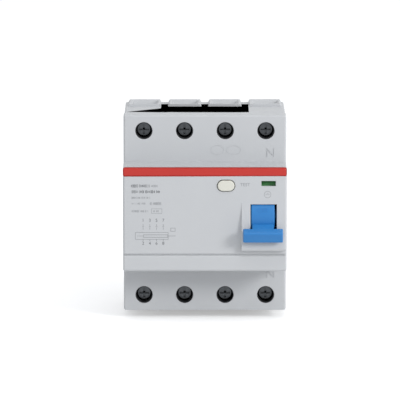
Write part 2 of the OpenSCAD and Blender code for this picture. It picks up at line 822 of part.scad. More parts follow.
// The core's case, a round channel open at the top
module sensor_case() {
    color([0.15, 0.16, 0.18]) sensor_ring() difference() {
        translate([sensor_in_r, -sensor_h / 2]) square([sensor_out_r - sensor_in_r, sensor_h]);
        translate([core_r0 - fit_gap, -sensor_h / 2 + sensor_wall])
            square([core_r1 - core_r0 + 2 * fit_gap, sensor_h]);
    }
}

// The secondary winding over a part of the case, towards the release
module sensor_winding() {
    play = 0.05;
    color([0.75, 0.42, 0.16]) translate([0, -sensor_w, sensor_v]) rotate([0, 0, -25])
        rotate_extrude(angle = 60) difference() {
            translate([sensor_in_r - winding_t, -sensor_h / 2 - winding_t])
                square([sensor_out_r - sensor_in_r + 2 * winding_t, sensor_h + 2 * winding_t]);
            translate([sensor_in_r - play, -sensor_h / 2 - play])
                square([sensor_out_r - sensor_in_r + 2 * play, sensor_h + 2 * play]);
        }
}

// Points along a smooth curve with two handles
function curve(a, b, c, d, steps) = [for (k = [0:steps]) let (t = k / steps, u = 1 - t)
    u * u * u * a + 3 * u * u * t * b + 3 * u * t * t * c + t * t * t * d];

// One unbroken round tube along a route, with its rings square to the route
module tube(route, r, sides = 8) {
    last = len(route) - 1;
    ring = [for (k = [0:last])
        let (ahead = route[min(k + 1, last)] - route[max(k - 1, 0)], dir = ahead / norm(ahead),
            u = cross([0, 1, 0], dir), a = u / norm(u), b = cross(dir, a))
        for (j = [0:sides - 1]) route[k] + r * (cos(360 * j / sides) * a + sin(360 * j / sides) * b)];
    walls = [for (k = [0:last - 1], j = [0:sides - 1])
        let (p = k * sides + j, q = k * sides + (j + 1) % sides)
        each [[p, p + sides, q], [q, p + sides, q + sides]]];
    caps = [for (j = [1:sides - 2])
        each [[0, j, j + 1], [last * sides, last * sides + j + 1, last * sides + j]]];
    polyhedron(ring, concat(walls, caps));
}

// A flexible cable from a moving contact's tail, through the sensor, to the end of its load bar.
// The outer poles' cables pass in front of the inner ones.
module load_cable(i) {
    x = pole_x(i);
    side = sign(i - (POLES + 1) / 2);
    outer = abs(x) > pole_pitch;
    spread = 0.62 * (sensor_in_r - winding_t - cable_r);
    inner_w = sensor_w + (outer ? 0.8 : -0.8) * spread;
    bow = outer ? 7 : 0;
    tail = [x, -carrier_w - cable_r - fit_gap, carrier_v - blade_tail - cable_r + fit_gap];
    over = [side * spread, -inner_w, sensor_v + sensor_h / 2 + winding_t];
    under = [side * spread, -inner_w, sensor_v - sensor_h / 2 - winding_t];
    foot = [x, -bar_w - bar_t / 2, load_bar_v + cable_r + fit_gap / 2];
    down = [0, -bow, -2.4];
    lead = [x - side * (outer ? 14 : 3), -inner_w, foot[2]];
    color([0.8, 0.5, 0.25]) tube(concat(
        curve(tail, tail + down, over + [0, -bow, 2.4], over, 8),
        curve(under, under - [0, 0, 6], lead, foot, 8)), cable_r);
}

// ---------------------------------------------------------------- release

module relay_case() {
    color([0.9, 0.9, 0.88]) difference() {
        block(relay_x - relay_b / 2, relay_x + relay_b / 2, floor_t, relay_front_w,
            relay_v - relay_h / 2, relay_v + relay_h / 2);
        rod_forward(relay_x, relay_v, relay_front_w - 8, relay_front_w + 1, plunger_r + fit_gap);
    }
}

module relay_plunger() {
    color("silver") {
        rod_forward(relay_x, relay_v, relay_front_w - 7.5, plunger_face_w, plunger_r);
        rod_forward(relay_x, relay_v, plunger_face_w - 1.2, plunger_face_w, plunger_r + 0.8);
    }
}

// A bell crank on its pin: one arm lies over the plunger, the other points to the latch
module trip_lever() {
    x0 = relay_x - 4;
    x1 = relay_x + 4;
    paddle_w = plunger_face_w + slide_gap;
    color([0.85, 0.65, 0.2]) difference() {
        union() {
            rod_across(x0, x1, trip_w, trip_v, trip_pin_r + 1);
            across(relay_x - 2.5, relay_x + 2.5) polygon([
                [paddle_w, relay_v - 2], [paddle_w + 1.2, relay_v - 2],
                [trip_w + 1.2, trip_v], [trip_w - 1.6, trip_v - 0.5]]);
            across(x0, x0 + 2) polygon([
                [trip_w - 1.2, trip_v], [trip_w + 1.2, trip_v],
                [trip_w + 2.4, trip_v + 4], [trip_w + 1, trip_v + 4.6]]);
        }
        rod_across(x0 - 1, x1 + 1, trip_w, trip_v, trip_pin_r + fit_gap);
    }
}

module trip_pin() {
    color("silver") rod_across(frame_l - plate_t, frame_r + plate_t, trip_w, trip_v, trip_pin_r);
}

// ---------------------------------------------------------------- test circuit

module test_button() {
    color([0.87, 0.86, 0.82]) {
        forward(flange_w, dome_w + button_proud) translate([button_x, button_v])
            oval(button_b, button_h);
        forward(flange_w, flange_w + flange_t) translate([button_x, button_v])
            oval(button_b + 2, button_h + 2);
        rod_forward(button_x, button_v, flange_w - stem_l - flange_t, flange_w + 0.1, stem_r);
    }
}

// The test contact: a bent strip on the middle barrier, its free end under the button's stem
module test_leaf() {
    root_w = split_w - 4;
    side_x = barrier_t / 2;
    end_x = button_x + stem_r + leaf_t;
    color([0.8, 0.6, 0.3]) upward(button_v - 2, button_v + 2) polygon([
        [side_x, root_w], [side_x + leaf_t, root_w], [side_x + leaf_t, leaf_w - leaf_t],
        [end_x, leaf_w - leaf_t], [end_x, leaf_w], [side_x, leaf_w]]);
}

module test_resistor() {
    w = split_w + resistor_r - slide_gap + fit_gap;
    v = works_v - 6;
    color([0.55, 0.3, 0.2]) {
        rod_across(-5, 5, w, v, resistor_r);
        rod_across(-9, 9, w, v, 0.35);
    }
}

// ---------------------------------------------------------------- terminals

module terminal_screw(x) {
    color([0.55, 0.56, 0.57]) difference() {
        union() {
            rod_forward(x, term_v, bar_w + bar_t + 0.1, head_w - head_t + 0.1, shank_r);
            rod_forward(x, term_v, head_w - head_t, head_w, head_r);
        }
        for (a = [0, 90]) translate([x, -head_w, term_v]) rotate([0, a, 0])
            cube([1.3 * head_r, 2 * recess_t, recess_b], center = true);
    }
}

// A clamp cage: a frame round the bar, its front wall threaded for the screw
module terminal_cage(x) {
    color([0.7, 0.71, 0.73]) difference() {
        block(x - cage_b / 2, x + cage_b / 2, cage_back_w, cage_front_w,
            term_v - cage_h / 2, term_v + cage_h / 2);
        block(x - cage_b / 2 + cage_t, x + cage_b / 2 - cage_t, cage_back_w + cage_t,
            cage_front_w - cage_nut_t, term_v - cage_h, term_v + cage_h);
        rod_forward(x, term_v, cage_front_w - cage_nut_t - 1, cage_front_w + 1, shank_r + fit_gap);
    }
}

module at_end(e) {
    if (e == "line") children();
    else mirror([0, 0, 1]) children();
}

// ---------------------------------------------------------------- assembly

base_housing();
front_cover();
accent_strip();
cover_bolts();
rail_clip(-1);  // rail_clip_left
rail_clip(1);  // rail_clip_right
toggle_lever();
toggle_pin();
toggle_spring();
crank_pin();
crank_link();
frame_plate_left();
frame_plate_right();
indicator_flag();
contact_carrier();
contact_springs();
arc_splitters();
arc_cheeks();
sensor_core();
sensor_case();
sensor_winding();
relay_case();
relay_plunger();
trip_lever();
trip_pin();
test_button();
test_leaf();
test_resistor();
for (i = [1:POLES]) {
    moving_contact(i);
    fixed_contact(i);
    load_bar(i);
    load_cable(i);
    for (e = ENDS) {
        at_end(e) terminal_screw(pole_x(i));
        at_end(e) terminal_cage(pole_x(i));
    }
}
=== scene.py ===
import json
import math

import bmesh
import bpy
from mathutils import Matrix, Vector

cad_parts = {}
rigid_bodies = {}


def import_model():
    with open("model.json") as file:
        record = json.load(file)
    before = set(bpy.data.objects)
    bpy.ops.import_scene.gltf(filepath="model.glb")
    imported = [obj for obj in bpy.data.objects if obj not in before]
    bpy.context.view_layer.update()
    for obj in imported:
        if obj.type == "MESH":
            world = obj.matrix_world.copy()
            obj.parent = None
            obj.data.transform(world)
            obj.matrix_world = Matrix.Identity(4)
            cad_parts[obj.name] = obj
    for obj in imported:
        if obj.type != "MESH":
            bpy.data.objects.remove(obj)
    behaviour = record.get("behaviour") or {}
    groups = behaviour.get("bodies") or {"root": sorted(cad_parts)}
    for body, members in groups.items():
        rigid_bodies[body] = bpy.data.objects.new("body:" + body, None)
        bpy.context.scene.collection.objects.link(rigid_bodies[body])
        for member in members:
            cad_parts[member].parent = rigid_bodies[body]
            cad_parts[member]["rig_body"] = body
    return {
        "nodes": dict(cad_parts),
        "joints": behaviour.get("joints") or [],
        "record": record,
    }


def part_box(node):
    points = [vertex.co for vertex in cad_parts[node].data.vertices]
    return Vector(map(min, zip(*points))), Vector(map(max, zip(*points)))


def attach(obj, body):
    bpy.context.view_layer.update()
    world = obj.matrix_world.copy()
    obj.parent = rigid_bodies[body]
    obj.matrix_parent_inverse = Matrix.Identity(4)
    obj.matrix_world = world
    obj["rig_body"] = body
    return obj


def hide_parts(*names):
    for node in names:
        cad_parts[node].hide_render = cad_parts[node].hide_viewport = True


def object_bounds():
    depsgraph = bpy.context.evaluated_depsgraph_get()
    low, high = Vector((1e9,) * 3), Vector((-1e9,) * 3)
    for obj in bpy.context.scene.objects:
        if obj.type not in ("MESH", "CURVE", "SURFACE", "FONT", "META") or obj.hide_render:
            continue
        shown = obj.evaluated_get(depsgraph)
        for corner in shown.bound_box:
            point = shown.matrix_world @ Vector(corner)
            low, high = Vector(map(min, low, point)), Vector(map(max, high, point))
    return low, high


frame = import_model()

CAD_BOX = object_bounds()
MM = 0.001
NODES = frame["nodes"]
BODY_OF = {name: node["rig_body"] for name, node in NODES.items()}
SLOT_OF = {part["node"]: part["material_slot"] for part in frame["record"]["subparts"]}
POLES = (1, 2, 3, 4)
ENDS = ("line", "load")
scene = bpy.context.scene

# Faces that the details sit on, read from the CAD nodes
PANEL_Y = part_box("accent_strip")[0].y
SIDE_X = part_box("front_cover")[1].x
SHOULDER_Y = min(v.co.y for v in NODES["front_cover"].data.vertices if abs(v.co.z) > 30 * MM)
FLOOR_Z = CAD_BOX[0][2]


# ---------------------------------------------------------------- small helpers

def srgb(hex_text):
    """Turns an sRGB hex colour into the linear colour that the sockets take."""
    parts = [int(hex_text[i:i + 2], 16) / 255 for i in (1, 3, 5)]
    linear = [c / 12.92 if c <= 0.04045 else ((c + 0.055) / 1.055) ** 2.4 for c in parts]
    return (*linear, 1.0)


def add_node(tree, kind, inputs=None, **settings):
    """Adds a node with its settings, and fills its inputs with values or links."""
    node = tree.nodes.new(kind)
    for name, value in settings.items():
        setattr(node, name, value)
    for key, value in (inputs or {}).items():
        for item in value if isinstance(value, list) else [value]:
            if isinstance(item, bpy.types.NodeSocket):
                tree.links.new(item, node.inputs[key])
            else:
                node.inputs[key].default_value = item
    return node


def add_piece(name, mesh, node, material, replaced=()):
    """Makes a mesh a piece that rides with a CAD node's body and takes its slot."""
    piece = bpy.data.objects.new(name, mesh)
    scene.collection.objects.link(piece)
    if material:
        mesh.materials.clear()
        mesh.materials.append(material)
    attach(piece, BODY_OF[node])
    if replaced:
        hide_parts(*replaced)
    return piece


def evaluated_mesh(maker):
    """Turns an object with its modifiers into a plain mesh, and removes the object."""
    graph = bpy.context.evaluated_depsgraph_get()
    mesh = bpy.data.meshes.new_from_object(maker.evaluated_get(graph), depsgraph=graph)
    bpy.data.objects.remove(maker)
    return mesh


def maker_object(name, data=None):
    maker = bpy.data.objects.new(name, data or bpy.data.meshes.new(name))
    scene.collection.objects.link(maker)
    return maker


# ---------------------------------------------------------------- camera, light and floor

# The view looks 8.75 degrees down at the front, from far enough to be nearly parallel
VIEW_DOWN = math.radians(8.75)
VIEW_DISTANCE = 2.0
VIEW_PIVOT = Vector((0, -31 * MM, 0))
VIEW_SIDE = -2.08 * MM
VIEW_RISE = 3.6 * MM


def place_camera():
    data = bpy.data.cameras.new("camera")
    data.lens = 414.7
    camera = bpy.data.objects.new("camera", data)
    back = Vector((0, -math.cos(VIEW_DOWN), math.sin(VIEW_DOWN)))
    up = Vector((0, math.sin(VIEW_DOWN), math.cos(VIEW_DOWN)))
    camera.location = VIEW_PIVOT + back * VIEW_DISTANCE + up * VIEW_RISE
    camera.location.x += VIEW_SIDE
    camera.rotation_euler = (math.radians(90) - VIEW_DOWN, 0, 0)
    scene.collection.objects.link(camera)
    scene.camera = camera


def place_lamp(name, place, size, watts):
    """A soft box aimed at the middle of the front."""
    data = bpy.data.lights.new(name, "AREA")
    data.size = size
    data.energy = watts
    lamp = bpy.data.objects.new(name, data)
    lamp.location = place
    lamp.rotation_euler = (Vector(place) - VIEW_PIVOT).to_track_quat("Z", "Y").to_euler()
    scene.collection.objects.link(lamp)


def seen_white(tree):
    """One where the camera, a reflection or a see-through ray looks, else nought."""
    rays = add_node(tree, "ShaderNodeLightPath").outputs
    either = add_node(tree, "ShaderNodeMath", {0: rays["Is Camera Ray"],
                      1: rays["Is Glossy Ray"]}, operation="MAXIMUM").outputs[0]
    return add_node(tree, "ShaderNodeMath", {0: either, 1: rays["Is Transmission Ray"]},
                    operation="MAXIMUM").outputs[0]


def light_world():
    world = bpy.data.worlds.new("studio")
    scene.world = world
    world.use_nodes = True
    tree = world.node_tree
    tree.nodes.clear()
    white = add_node(tree, "ShaderNodeBackground", {"Color": srgb("#ffffff"), "Strength": 1.0})
    fill = add_node(tree, "ShaderNodeBackground", {"Color": srgb("#fafcff"), "Strength": 0.66})
    mixed = add_node(tree, "ShaderNodeMixShader",
                     {0: seen_white(tree), 1: fill.outputs[0], 2: white.outputs[0]})
    add_node(tree, "ShaderNodeOutputWorld", {"Surface": mixed.outputs[0]})


def lay_floor():
    """A matt white paper sweep, lifted to white where it lies out of the shadow."""
    bm = bmesh.new()
    bmesh.ops.create_grid(bm, x_segments=8, y_segments=8, size=6.0,
                          matrix=Matrix.Translation((0, 0, FLOOR_Z)))
    mesh = bpy.data.meshes.new("floor")
    bm.to_mesh(mesh)
    bm.free()
    material = bpy.data.materials.new("matt_white_paper")
    material.use_nodes = True
    tree = material.node_tree
    tree.nodes.clear()
    paper = add_node(tree, "ShaderNodeBsdfDiffuse", {"Color": srgb("#ececec")})
    lift = add_node(tree, "ShaderNodeMath", {0: seen_white(tree), 1: 0.42}, operation="MULTIPLY")
    glow = add_node(tree, "ShaderNodeEmission", {"Strength": lift.outputs[0]})
    both = add_node(tree, "ShaderNodeAddShader", {0: paper.outputs[0], 1: glow.outputs[0]})
    add_node(tree, "ShaderNodeOutputMaterial", {"Surface": both.outputs[0]})
    mesh.materials.append(material)
    floor = maker_object("floor", mesh)


scene.view_settings.view_transform = "Standard"
place_camera()
light_world()
place_lamp("key_softbox", (1.15, -1.0, 0.62), 0.45, 12.0)
place_lamp("top_softbox", (0.1, -0.55, 1.3), 0.6, 2.5)
lay_floor()


# ---------------------------------------------------------------- materials

# Sizes of the patterns: the spark-eroded grain of the mould, drawn coarser than its
# real 0.05 mm so that it shows, and the broad marks that the melt leaves as it flows
GRAIN = 0.45 * MM
FINE_GRAIN = 0.25 * MM
FLOW_MARK = 14 * MM
GRAIN_DEPTH = 0.03 * MM
DRAW_LINE = 0.12 * MM


def new_material(name):
    material = bpy.data.materials.new(name)
    material.use_nodes = True
    tree = material.node_tree
    tree.nodes.clear()
    shader = add_node(tree, "ShaderNodeBsdfPrincipled")
    add_node(tree, "ShaderNodeOutputMaterial", {"Surface": shader.outputs[0]})
    return material, tree, shader


def finish_shader(tree, shader, colour, roughness, normal):
    tree.links.new(colour, shader.inputs["Base Color"])
    tree.links.new(roughness, shader.inputs["Roughness"])
    tree.links.new(normal, shader.inputs["Normal"])


def moulded(name, colour, shade, roughness, grain=GRAIN, relief=0.35, ior=1.5):
    """Moulded plastic: an even colour with faint flow marks and a fine matt grain."""
    material, tree, shader = new_material(name)
    place = add_node(tree, "ShaderNodeTexCoord").outputs["Object"]
    fine = add_node(tree, "ShaderNodeTexNoise",
                    {"Vector": place, "Scale": 1 / grain, "Detail": 3.0}).outputs[0]
    flow = add_node(tree, "ShaderNodeTexNoise",
                    {"Vector": place, "Scale": 1 / FLOW_MARK, "Detail": 2.0}).outputs[0]
    tint = add_node(tree, "ShaderNodeMix", {0: flow, 6: srgb(colour), 7: srgb(shade)},
                    data_type="RGBA").outputs[2]
    gloss = add_node(tree, "ShaderNodeMapRange", {"Value": fine, "To Min": roughness - 0.07,
                     "To Max": roughness + 0.07}).outputs[0]
    bump = add_node(tree, "ShaderNodeBump", {"Height": fine, "Strength": relief,
                    "Distance": GRAIN_DEPTH}).outputs[0]
    finish_shader(tree, shader, tint, gloss, bump)
    shader.inputs["IOR"].default_value = ior
    return material


def metal(name, colour, shade, roughness, stretch=(1, 1, 1), relief=0.25):
    """A metal with fine lines or specks along the way it was drawn, rolled or plated."""
    material, tree, shader = new_material(name)
    place = add_node(tree, "ShaderNodeTexCoord").outputs["Object"]
    turned = add_node(tree, "ShaderNodeMapping", {"Vector": place, "Scale": stretch}).outputs[0]
    lines = add_node(tree, "ShaderNodeTexNoise",
                     {"Vector": turned, "Scale": 1 / DRAW_LINE, "Detail": 4.0}).outputs[0]
    stain = add_node(tree, "ShaderNodeTexNoise",
                     {"Vector": place, "Scale": 1 / (2 * MM), "Detail": 3.0}).outputs[0]
    tint = add_node(tree, "ShaderNodeMix", {0: stain, 6: srgb(colour), 7: srgb(shade)},
                    data_type="RGBA").outputs[2]
    gloss = add_node(tree, "ShaderNodeMapRange", {"Value": lines, "To Min": roughness - 0.1,
                     "To Max": roughness + 0.1}).outputs[0]
    bump = add_node(tree, "ShaderNodeBump", {"Height": lines, "Strength": relief,
                    "Distance": GRAIN_DEPTH / 2}).outputs[0]
    finish_shader(tree, shader, tint, gloss, bump)
    shader.inputs["Metallic"].default_value = 1.0
    return material


def ink(name, colour, worn):
    """Pad-printed ink: matt, a little thin where the pad lifted."""
    material, tree, shader = new_material(name)
    place = add_node(tree, "ShaderNodeTexCoord").outputs["Object"]
    thin = add_node(tree, "ShaderNodeTexNoise",
                    {"Vector": place, "Scale": 1 / FINE_GRAIN, "Detail": 2.0}).outputs[0]
    tint = add_node(tree, "ShaderNodeMix", {0: thin, 6: srgb(colour), 7: srgb(worn)},
                    data_type="RGBA").outputs[2]
    tree.links.new(tint, shader.inputs["Base Color"])
    shader.inputs["Roughness"].default_value = 0.6
    return material


def banded(name, low, high, turn_height, roughness):
    """A drum moulded in one colour and pad printed in another above a given height."""
    material, tree, shader = new_material(name)
    place = add_node(tree, "ShaderNodeTexCoord").outputs["Object"]
    height = add_node(tree, "ShaderNodeSeparateXYZ", {0: place}).outputs["Z"]
    above = add_node(tree, "ShaderNodeMath", {0: height, 1: turn_height},
                     operation="GREATER_THAN").outputs[0]
    speck = add_node(tree, "ShaderNodeTexNoise",
                     {"Vector": place, "Scale": 1 / FINE_GRAIN, "Detail": 2.0}).outputs[0]
    tint = add_node(tree, "ShaderNodeMix", {0: above, 6: srgb(low), 7: srgb(high)},
                    data_type="RGBA").outputs[2]
    bump = add_node(tree, "ShaderNodeBump", {"Height": speck, "Strength": 0.2,
                    "Distance": GRAIN_DEPTH}).outputs[0]
    tree.links.new(tint, shader.inputs["Base Color"])
    tree.links.new(bump, shader.inputs["Normal"])
    shader.inputs["Roughness"].default_value = roughness
    return material


def wound(name, light, dark, pitch, roughness, metallic):
    """Wire or strip laid turn by turn: fine bands that follow each other along Z."""
    material, tree, shader = new_material(name)
    place = add_node(tree, "ShaderNodeTexCoord").outputs["Object"]
    wave = add_node(tree, "ShaderNodeTexWave", {"Vector": place, "Scale": 1 / (4 * pitch),
                    "Distortion": 0.6}, bands_direction="DIAGONAL").outputs[1]
    tint = add_node(tree, "ShaderNodeMix", {0: wave, 6: srgb(dark), 7: srgb(light)},
                    data_type="RGBA").outputs[2]
    bump = add_node(tree, "ShaderNodeBump", {"Height": wave, "Strength": 0.5,
                    "Distance": GRAIN_DEPTH * 2}).outputs[0]
    tree.links.new(tint, shader.inputs["Base Color"])
    tree.links.new(bump, shader.inputs["Normal"])
    shader.inputs["Roughness"].default_value = roughness
    shader.inputs["Metallic"].default_value = metallic
    return material


# Glass-filled polyamide, moulded: a cool light grey with a soft sheen
HOUSING = moulded("moulded_polyamide_light_grey", "#c6c8ca", "#c1c3c6", 0.5)
# Polycarbonate strip, moulded and glossier than the housing: a warm signal red
STRIP = moulded("moulded_polycarbonate_red", "#c42b20", "#b9281f", 0.38, FINE_GRAIN, 0.15)
# Polyamide lever, moulded: a strong mid blue with a satin surface
TOGGLE = moulded("moulded_polyamide_blue", "#2b7fc4", "#2677ba", 0.42, FINE_GRAIN, 0.2)
# Urea resin button, moulded: a warm off-white that looks dense and smooth
BUTTON = moulded("moulded_urea_cream", "#dddcd2", "#d6d5ca", 0.36, FINE_GRAIN, 0.15)
# Polyamide clips, moulded: dark grey and matt
CLIP = moulded("moulded_polyamide_dark_grey", "#55585c", "#4d5054", 0.5)
# Painted shade: near-black liners set into the driver holes, standing in for the shade deep
# inside them
PAINTED_SHADE_LINER = moulded("painted_shade_hole_liner", "#2c2d30", "#27282b", 0.55)
# Polyester (PBT) inner parts, moulded
BLACK = moulded("moulded_pbt_black", "#2a2a2d", "#232326", 0.45)
WHITE = moulded("moulded_pbt_white", "#e8e8e4", "#e0e0db", 0.4)
# Acetal trip lever, moulded: a waxy yellow
TRIP = moulded("moulded_acetal_yellow", "#dda93a", "#d29f33", 0.3, FINE_GRAIN, 0.15)
# Vulcanised fibre sheet, punched: buff, with a papery surface
FIBRE = moulded("punched_vulcanised_fibre", "#dcd3b4", "#cfc5a3", 0.75, FINE_GRAIN, 0.6)
# Cement-coated ceramic resistor: a dusty brown
RESISTOR = moulded("cement_coated_ceramic", "#8e5138", "#84482f", 0.7, FINE_GRAIN, 0.6)
# Steel sheet and pins, zinc plated: bright, with a faint blue cast
ZINC = metal("zinc_plated_steel", "#c2c5ca", "#b2b6bb", 0.32)
# Terminal screws, black-zinc plated: dark, with soft edges that catch the light
SCREW = metal("black_zinc_plated_steel", "#5d6063", "#4c4e51", 0.36)
# Spring wire, drawn and oiled: dark grey, lines along the wire
SPRING = metal("drawn_spring_steel", "#7b7f86", "#6a6e74", 0.3)
# Contact bars, rolled copper: warm, lines along the strip
COPPER = metal("rolled_copper", "#c98a5e", "#b87a50", 0.34, (1, 1, 0.15))
# Test leaf, rolled spring bronze
BRONZE = metal("rolled_spring_bronze", "#c9a25c", "#b8924f", 0.3, (0.15, 1, 1))
# Toroid core, wound nickel-iron strip: grey, fine turns
CORE = wound("wound_nickel_iron_strip", "#7d828a", "#5e636a", 0.35 * MM, 0.35, 1.0)
# Secondary winding, enamelled copper wire: glossy amber turns
WINDING = wound("wound_enamelled_copper", "#c5703a", "#8a4620", 0.3 * MM, 0.25, 0.6)
# Load cables, braided copper strands: bright and dull diamonds
BRAID = wound("braided_copper", "#d08f5f", "#8f5836", 0.4 * MM, 0.4, 1.0)
# Panel prints, pad printed in grey inks of two strengths
DARK_INK = ink("pad_printed_grey_ink", "#5c5e61", "#7b7d80")
PALE_INK = ink("pad_printed_pale_grey_ink", "#8f9194", "#a2a4a7")

SLOT_MATERIALS = {
    "housing": HOUSING, "strip_red": STRIP, "toggle_blue": TOGGLE, "button_cream": BUTTON,
    "clip_plastic": CLIP, "zinc_steel": ZINC, "screw_steel": SCREW, "spring_steel": SPRING,
    "copper": COPPER, "black_plastic": BLACK, "core_metal": CORE, "relay_plastic": WHITE,
    "trip_plastic": TRIP, "fibre": FIBRE, "bronze": BRONZE, "resistor": RESISTOR,
}


# ---------------------------------------------------------------- moulded pieces

# A mould's edges: broad along the housing's sides, fine elsewhere
SIDE_ROUND = 0.8 * MM
FLAT_ANGLE = math.radians(0.3)
EDGE_ANGLE = math.radians(30)
SAME_POINT = 0.002 * MM


def merged_copy(node):
    """A CAD node's surface with its triangles joined and its flat faces made whole."""
    bm = bmesh.new()
    bm.from_mesh(NODES[node].data)
    bmesh.ops.remove_doubles(bm, verts=bm.verts, dist=SAME_POINT)
    bmesh.ops.dissolve_limit(bm, angle_limit=FLAT_ANGLE, verts=bm.verts, edges=bm.edges)
    return bm


def mark_edges(bm, fine, side_x):
    """Weights the outward edges for rounding: the side edges fully, the others finely."""
    weights = bm.edges.layers.float.new("bevel_weight_edge")
    for edge in bm.edges:
        if len(edge.link_faces) != 2 or edge.calc_face_angle_signed(0) < EDGE_ANGLE:
            continue
        at_side = all(abs(abs(v.co.x) - side_x) < SAME_POINT for v in edge.verts)
        edge[weights] = 1.0 if at_side else fine / SIDE_ROUND


def rounded_piece(node, name, material, fine, side_x=1.0, cutters=()):
    """A moulded piece in a CAD node's shape, with its outward edges rounded."""
    bm = merged_copy(node)
    mark_edges(bm, fine, side_x)
    mesh = bpy.data.meshes.new(name)
    bm.to_mesh(mesh)
    bm.free()
    maker = maker_object(name + "_maker", mesh)
    bevel = maker.modifiers.new("round", "BEVEL")
    bevel.limit_method = "WEIGHT"
    bevel.width = SIDE_ROUND
    bevel.segments = 3
    bevel.use_clamp_overlap = False
    for cutter in cutters:
        cut = maker.modifiers.new("engrave", "BOOLEAN")
        cut.operation = "DIFFERENCE"
        cut.solver = "EXACT"
        cut.object = cutter
    mesh = evaluated_mesh(maker)
    for cutter in cutters:
        bpy.data.objects.remove(cutter)
    smooth_by_angle(mesh)
    return add_piece(name, mesh, node, material, [node])


def smooth_by_angle(mesh):
    """Smooth shading that keeps flat faces flat and inward corners sharp."""
    bm = bmesh.new()
    bm.from_mesh(mesh)
    for face in bm.faces:
        face.smooth = True
    for edge in bm.edges:
        edge.smooth = len(edge.link_faces) == 2 and edge.calc_face_angle(0) < EDGE_ANGLE * 1.2
    bm.to_mesh(mesh)
    bm.free()
    maker = maker_object("shading", mesh)
    shading = maker.modifiers.new("weigh", "WEIGHTED_NORMAL")
    shading.keep_sharp = True
    graph = bpy.context.evaluated_depsgraph_get()
    weighed = maker.evaluated_get(graph).to_mesh()
    normals = [tuple(corner.vector) for corner in weighed.corner_normals]
    bpy.data.objects.remove(maker)
    mesh.normals_split_custom_set(normals)


# Words and marks on the front are drawn flat as (x, height) and stood up on a face
STAND_UP = Matrix.Rotation(math.radians(90), 4, "X")


def words_mesh(words, height, thick, bold=0.0):
    """Plain sans-serif characters as a closed mesh, centred and facing forward."""
    curve = bpy.data.curves.new(words, "FONT")
    curve.body = words
    curve.size = height / 0.7
    curve.extrude = thick / 2
    curve.offset = bold
    curve.align_x = "CENTER"
    curve.align_y = "CENTER"
    curve.resolution_u = 5
    mesh = evaluated_mesh(maker_object(words, curve))
    bm = bmesh.new()
    bm.from_mesh(mesh)
    bmesh.ops.remove_doubles(bm, verts=bm.verts, dist=SAME_POINT / 10)
    bmesh.ops.recalc_face_normals(bm, faces=bm.faces)
    bm.to_mesh(mesh)
    bm.free()
    mesh.transform(STAND_UP)
    return mesh


def ring_mesh(radius_x, radius_z, stroke, thick, steps=40):
    """A flat oval ring, centred and facing forward."""
    bm = bmesh.new()
    loops = []
    for depth in (-thick / 2, thick / 2):
        for inset in (0, stroke):
            loops.append([bm.verts.new((
                (radius_x - inset) * math.cos(2 * math.pi * k / steps), depth,
                (radius_z - inset) * math.sin(2 * math.pi * k / steps))) for k in range(steps)])
    front_out, front_in, rear_out, rear_in = loops
    for a, b in ((front_out, front_in), (front_in, rear_in), (rear_in, rear_out),
                 (rear_out, front_out)):
        for k in range(steps):
            n = (k + 1) % steps
            bm.faces.new((a[k], a[n], b[n], b[k]))
    bmesh.ops.recalc_face_normals(bm, faces=bm.faces)
    mesh = bpy.data.meshes.new("ring")
    bm.to_mesh(mesh)
    bm.free()
    return mesh


def cutter_at(mesh, x, y, z):
    mesh.transform(Matrix.Translation((x, y, z)))
    return maker_object("cutter", mesh)


# Engraved marks on the shoulders: the neutral pole's letter at each end, and an empty
# oval where such a device is stamped
ENGRAVING = 0.5 * MM
NEUTRAL_X = 28 * MM
NEUTRAL_Z = (26.0 * MM, -26.7 * MM)
NEUTRAL_H = 3.7 * MM
STAMP = (5.2 * MM, 27.4 * MM, 2.9 * MM, 2.2 * MM)
STAMP_PLATE = (12.2 * MM, 27.4 * MM, 3.2 * MM, 2.0 * MM)
cutters = [cutter_at(words_mesh("N", NEUTRAL_H, ENGRAVING), NEUTRAL_X, SHOULDER_Y, z)
           for z in NEUTRAL_Z]
for x, z, radius_x, radius_z in (STAMP, STAMP_PLATE):
    cutters.append(cutter_at(ring_mesh(radius_x, radius_z, 0.28 * MM, ENGRAVING / 2),
                             x, SHOULDER_Y, z))

rounded_piece("front_cover", "cover_moulding", HOUSING, 0.22 * MM, SIDE_X, cutters)
rounded_piece("base_housing", "base_moulding", HOUSING, 0.25 * MM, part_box("base_housing")[1].x)
rounded_piece("accent_strip", "strip_moulding", STRIP, 0.12 * MM, SIDE_X)
rounded_piece("toggle_lever", "toggle_moulding", TOGGLE, 0.45 * MM)
rounded_piece("test_button", "button_moulding", BUTTON, 0.35 * MM)
for side in ("left", "right"):
    rounded_piece("rail_clip_" + side, "clip_moulding_" + side, CLIP, 0.3 * MM)


# ---------------------------------------------------------------- Geometry Nodes trees

def new_tree(name, sockets):
    """A tree with named inputs; returns the tree and its inputs' sockets by name."""
    tree = bpy.data.node_groups.new(name, "GeometryNodeTree")
    tree.interface.new_socket("Geometry", in_out="OUTPUT", socket_type="NodeSocketGeometry")
    for label, kind in sockets.items():
        tree.interface.new_socket(label, in_out="INPUT", socket_type="NodeSocket" + kind)
    return tree, add_node(tree, "NodeGroupInput").outputs


def close_tree(tree, geometry, material):
    """Ends a tree: realises its instances and gives them their material."""
    real = add_node(tree, "GeometryNodeRealizeInstances", {0: geometry})
    dressed = add_node(tree, "GeometryNodeSetMaterial",
                       {"Geometry": real.outputs[0], "Material": material})
    add_node(tree, "NodeGroupOutput", {0: dressed.outputs[0]})


def grown_mesh(tree, values, start=None):
    """Runs a tree with its inputs given by name, and returns the plain mesh it makes."""
    maker = maker_object(tree.name + "_maker", start)
    modifier = maker.modifiers.new("grow", "NODES")
    modifier.node_group = tree
    for item in tree.interface.items_tree:
        if item.in_out == "INPUT" and item.name in values:
            modifier[item.identifier] = values[item.name]
    return evaluated_mesh(maker)


